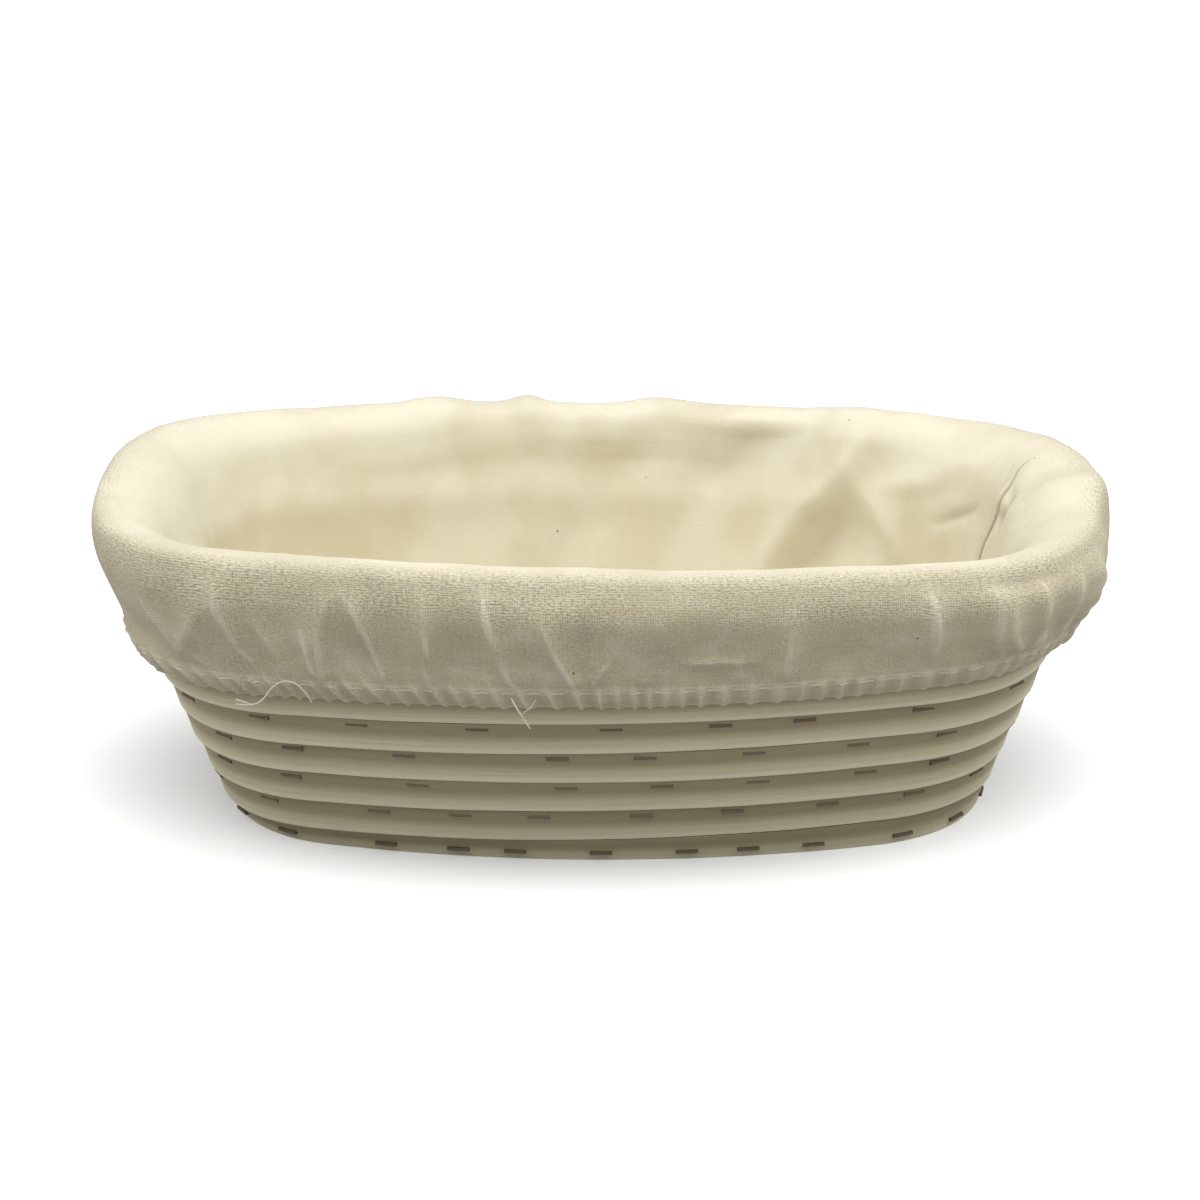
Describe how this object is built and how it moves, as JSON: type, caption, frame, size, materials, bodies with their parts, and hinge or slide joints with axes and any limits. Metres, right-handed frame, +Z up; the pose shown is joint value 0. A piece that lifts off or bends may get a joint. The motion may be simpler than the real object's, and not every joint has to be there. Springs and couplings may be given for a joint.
{
  "type": "proofing basket",
  "caption": "Oval bread proofing basket of stapled, spirally wound rattan cane with a removable cotton liner whose gathered hem grips below the rim.",
  "frame": {"origin": "on the table under the middle of the basket", "axes": "+X along the basket, the front long side faces -Y, +Z up"},
  "size_m": [0.2556, 0.1568, 0.0863],
  "materials": {
    "cane": "matte",
    "staple_wire": "satin",
    "cotton": "matte",
    "thread": "matte",
    "elastic": "matte"
  },
  "bodies": {
    "basket": {"base_core": "cane", "base_coil": "cane", "lower_wall_coil": "cane", "upper_wall_coil": "cane", "base_staples": "staple_wire", "edge_staples": "staple_wire", "wall_staples_1": "staple_wire", "wall_staples_2": "staple_wire", "wall_staples_3": "staple_wire", "wall_staples_4": "staple_wire", "wall_staples_5": "staple_wire", "wall_staples_6": "staple_wire", "wall_staples_7": "staple_wire", "wall_staples_8": "staple_wire"},
    "liner": {"liner_floor": "cotton", "liner_wall": "cotton", "liner_skirt": "cotton", "floor_seam": "thread", "side_seam": "cotton", "hem_elastic": "elastic", "hem_stitching": "thread"}
  },
  "joints": [
    {"name": "liner_lift", "type": "slide", "parent": "basket", "child": "liner", "axis": [0, 0, 1], "range_m": [0, 0.1], "deforming": ["liner_skirt", "hem_elastic", "hem_stitching"]}
  ]
}
